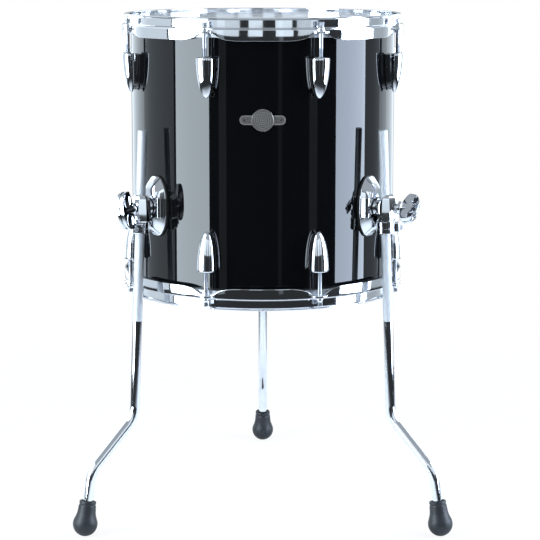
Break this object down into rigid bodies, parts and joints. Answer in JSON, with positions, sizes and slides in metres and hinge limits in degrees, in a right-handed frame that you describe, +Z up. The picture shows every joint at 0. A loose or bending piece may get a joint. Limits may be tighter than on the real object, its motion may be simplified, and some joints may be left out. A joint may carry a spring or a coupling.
{
  "type": "floor tom",
  "caption": "Free-standing floor tom drum: glossy black wood shell, clear heads in chrome hoops with tension rods and bullet lugs, and bent legs in clamp brackets with rubber feet.",
  "frame": {"origin": "on the floor, under the middle of the drum's box, between the shell's axis and the rear leg", "axes": "+Z up towards the batter head, -Y towards the front with the badge, +X to the right seen from the front"},
  "size_m": [0.497, 0.5195, 0.672],
  "materials": {
    "black_lacquer": "high gloss black lacquer over bent ply, bare wood inside",
    "chrome": "bright chrome plate",
    "satin_steel": "satin steel",
    "nickel": "etched nickel plate",
    "clear_film": "clear polyester film with a metal flesh hoop",
    "rubber": "moulded matt rubber"
  },
  "bodies": {
    "root": {"shell": "black_lacquer", "batter_head": "clear_film", "batter_hoop": "chrome", "batter_lug_1": "chrome", "batter_lug_2": "chrome", "batter_lug_3": "chrome", "batter_lug_4": "chrome", "batter_lug_5": "chrome", "batter_lug_6": "chrome", "batter_lug_7": "chrome", "batter_lug_8": "chrome", "resonant_head": "clear_film", "resonant_hoop": "chrome", "resonant_lug_1": "chrome", "resonant_lug_2": "chrome", "resonant_lug_3": "chrome", "resonant_lug_4": "chrome", "resonant_lug_5": "chrome", "resonant_lug_6": "chrome", "resonant_lug_7": "chrome", "resonant_lug_8": "chrome", "badge": "nickel", "vent_grommet": "chrome", "left_leg_bracket": "chrome", "right_leg_bracket": "chrome", "rear_leg_bracket": "chrome"},
    "batter_tension_rod_1": {"batter_tension_rod_1": "chrome"},
    "batter_tension_rod_2": {"batter_tension_rod_2": "chrome"},
    "batter_tension_rod_3": {"batter_tension_rod_3": "chrome"},
    "batter_tension_rod_4": {"batter_tension_rod_4": "chrome"},
    "batter_tension_rod_5": {"batter_tension_rod_5": "chrome"},
    "batter_tension_rod_6": {"batter_tension_rod_6": "chrome"},
    "batter_tension_rod_7": {"batter_tension_rod_7": "chrome"},
    "batter_tension_rod_8": {"batter_tension_rod_8": "chrome"},
    "resonant_tension_rod_1": {"resonant_tension_rod_1": "chrome"},
    "resonant_tension_rod_2": {"resonant_tension_rod_2": "chrome"},
    "resonant_tension_rod_3": {"resonant_tension_rod_3": "chrome"},
    "resonant_tension_rod_4": {"resonant_tension_rod_4": "chrome"},
    "resonant_tension_rod_5": {"resonant_tension_rod_5": "chrome"},
    "resonant_tension_rod_6": {"resonant_tension_rod_6": "chrome"},
    "resonant_tension_rod_7": {"resonant_tension_rod_7": "chrome"},
    "resonant_tension_rod_8": {"resonant_tension_rod_8": "chrome"},
    "left_shoe": {"left_clamp_shoe": "satin_steel"},
    "left_wing": {"left_wing_screw": "chrome"},
    "left_lock": {"left_memory_lock": "chrome"},
    "left_key": {"left_lock_key_screw": "satin_steel"},
    "left_stand": {"left_leg": "chrome", "left_rubber_foot": "rubber"},
    "right_shoe": {"right_clamp_shoe": "satin_steel"},
    "right_wing": {"right_wing_screw": "chrome"},
    "right_lock": {"right_memory_lock": "chrome"},
    "right_key": {"right_lock_key_screw": "satin_steel"},
    "right_stand": {"right_leg": "chrome", "right_rubber_foot": "rubber"},
    "rear_shoe": {"rear_clamp_shoe": "satin_steel"},
    "rear_wing": {"rear_wing_screw": "chrome"},
    "rear_lock": {"rear_memory_lock": "chrome"},
    "rear_key": {"rear_lock_key_screw": "satin_steel"},
    "rear_stand": {"rear_leg": "chrome", "rear_rubber_foot": "rubber"}
  },
  "joints": [
    {"name": "batter_tension_rod_1_turn", "type": "hinge", "parent": "root", "child": "batter_tension_rod_1", "pos_m": [0.0734, -0.23263, 0.6], "axis": [0, 0, 1], "continuous": true},
    {"name": "batter_tension_rod_2_turn", "type": "hinge", "parent": "root", "child": "batter_tension_rod_2", "pos_m": [0.1772, -0.12883, 0.6], "axis": [0, 0, 1], "continuous": true},
    {"name": "batter_tension_rod_3_turn", "type": "hinge", "parent": "root", "child": "batter_tension_rod_3", "pos_m": [0.1772, 0.01797, 0.6], "axis": [0, 0, 1], "continuous": true},
    {"name": "batter_tension_rod_4_turn", "type": "hinge", "parent": "root", "child": "batter_tension_rod_4", "pos_m": [0.0734, 0.12177, 0.6], "axis": [0, 0, 1], "continuous": true},
    {"name": "batter_tension_rod_5_turn", "type": "hinge", "parent": "root", "child": "batter_tension_rod_5", "pos_m": [-0.0734, 0.12177, 0.6], "axis": [0, 0, 1], "continuous": true},
    {"name": "batter_tension_rod_6_turn", "type": "hinge", "parent": "root", "child": "batter_tension_rod_6", "pos_m": [-0.1772, 0.01797, 0.6], "axis": [0, 0, 1], "continuous": true},
    {"name": "batter_tension_rod_7_turn", "type": "hinge", "parent": "root", "child": "batter_tension_rod_7", "pos_m": [-0.1772, -0.12883, 0.6], "axis": [0, 0, 1], "continuous": true},
    {"name": "batter_tension_rod_8_turn", "type": "hinge", "parent": "root", "child": "batter_tension_rod_8", "pos_m": [-0.0734, -0.23263, 0.6], "axis": [0, 0, 1], "continuous": true},
    {"name": "resonant_tension_rod_1_turn", "type": "hinge", "parent": "root", "child": "resonant_tension_rod_1", "pos_m": [0.0734, -0.23263, 0.37], "axis": [0, 0, -1], "continuous": true},
    {"name": "resonant_tension_rod_2_turn", "type": "hinge", "parent": "root", "child": "resonant_tension_rod_2", "pos_m": [0.1772, -0.12883, 0.37], "axis": [0, 0, -1], "continuous": true},
    {"name": "resonant_tension_rod_3_turn", "type": "hinge", "parent": "root", "child": "resonant_tension_rod_3", "pos_m": [0.1772, 0.01797, 0.37], "axis": [0, 0, -1], "continuous": true},
    {"name": "resonant_tension_rod_4_turn", "type": "hinge", "parent": "root", "child": "resonant_tension_rod_4", "pos_m": [0.0734, 0.12177, 0.37], "axis": [0, 0, -1], "continuous": true},
    {"name": "resonant_tension_rod_5_turn", "type": "hinge", "parent": "root", "child": "resonant_tension_rod_5", "pos_m": [-0.0734, 0.12177, 0.37], "axis": [0, 0, -1], "continuous": true},
    {"name": "resonant_tension_rod_6_turn", "type": "hinge", "parent": "root", "child": "resonant_tension_rod_6", "pos_m": [-0.1772, 0.01797, 0.37], "axis": [0, 0, -1], "continuous": true},
    {"name": "resonant_tension_rod_7_turn", "type": "hinge", "parent": "root", "child": "resonant_tension_rod_7", "pos_m": [-0.1772, -0.12883, 0.37], "axis": [0, 0, -1], "continuous": true},
    {"name": "resonant_tension_rod_8_turn", "type": "hinge", "parent": "root", "child": "resonant_tension_rod_8", "pos_m": [-0.0734, -0.23263, 0.37], "axis": [0, 0, -1], "continuous": true},
    {"name": "left_clamp_travel", "type": "slide", "parent": "root", "child": "left_shoe", "axis": [-0.515, -0.8541, -0.0726], "range_m": [0, 0.0015]},
    {"name": "left_wing_turn", "type": "hinge", "parent": "left_shoe", "child": "left_wing", "pos_m": [-0.15924, -0.18438, 0.4266], "axis": [-0.515, -0.8541, -0.0726], "range_deg": [0, 450]},
    {"name": "left_leg_swivel", "type": "hinge", "parent": "root", "child": "left_lock", "pos_m": [-0.15931, -0.18444, 0.4246], "axis": [0.0366, 0.0296, 0.9989], "range_deg": [-155, 75]},
    {"name": "left_leg_height", "type": "slide", "parent": "left_lock", "child": "left_stand", "axis": [0.0366, 0.0296, 0.9989], "range_m": [-0.07, 0.11]},
    {"name": "left_key_turn", "type": "hinge", "parent": "left_lock", "child": "left_key", "pos_m": [-0.16026, -0.18521, 0.3989], "axis": [-0.1917, -0.9814, -0.011], "continuous": true},
    {"name": "right_clamp_travel", "type": "slide", "parent": "root", "child": "right_shoe", "axis": [0.9425, -0.3262, -0.0726], "range_m": [0, 0.0015]},
    {"name": "right_wing_turn", "type": "hinge", "parent": "right_shoe", "child": "right_wing", "pos_m": [0.15924, -0.18438, 0.4266], "axis": [0.9425, -0.3262, -0.0726], "range_deg": [0, 450]},
    {"name": "right_leg_swivel", "type": "hinge", "parent": "root", "child": "right_lock", "pos_m": [0.15931, -0.18444, 0.4246], "axis": [-0.0366, 0.0296, 0.9989], "range_deg": [-155, 75]},
    {"name": "right_leg_height", "type": "slide", "parent": "right_lock", "child": "right_stand", "axis": [-0.0366, 0.0296, 0.9989], "range_m": [-0.07, 0.11]},
    {"name": "right_key_turn", "type": "hinge", "parent": "right_lock", "child": "right_key", "pos_m": [0.16026, -0.18521, 0.3989], "axis": [0.9998, 0.0166, -0.011], "continuous": true},
    {"name": "rear_clamp_travel", "type": "slide", "parent": "root", "child": "rear_shoe", "axis": [-0.3397, 0.9377, -0.0726], "range_m": [0, 0.0015]},
    {"name": "rear_wing_turn", "type": "hinge", "parent": "rear_shoe", "child": "rear_wing", "pos_m": [0, 0.14947, 0.4266], "axis": [-0.3397, 0.9377, -0.0726], "range_deg": [0, 450]},
    {"name": "rear_leg_swivel", "type": "hinge", "parent": "root", "child": "rear_lock", "pos_m": [0, 0.14957, 0.4246], "axis": [0, -0.0471, 0.9989], "range_deg": [-155, 75]},
    {"name": "rear_leg_height", "type": "slide", "parent": "rear_lock", "child": "rear_stand", "axis": [0, -0.0471, 0.9989], "range_m": [-0.07, 0.11]},
    {"name": "rear_key_turn", "type": "hinge", "parent": "rear_lock", "child": "rear_key", "pos_m": [0, 0.15078, 0.3989], "axis": [-0.6421, 0.7666, -0.011], "continuous": true}
  ],
  "couplings": [
    {"joint": "left_wing_turn", "follows": "left_clamp_travel", "rad_per_m": 5026.5},
    {"joint": "right_wing_turn", "follows": "right_clamp_travel", "rad_per_m": 5026.5},
    {"joint": "rear_wing_turn", "follows": "rear_clamp_travel", "rad_per_m": 5026.5}
  ]
}
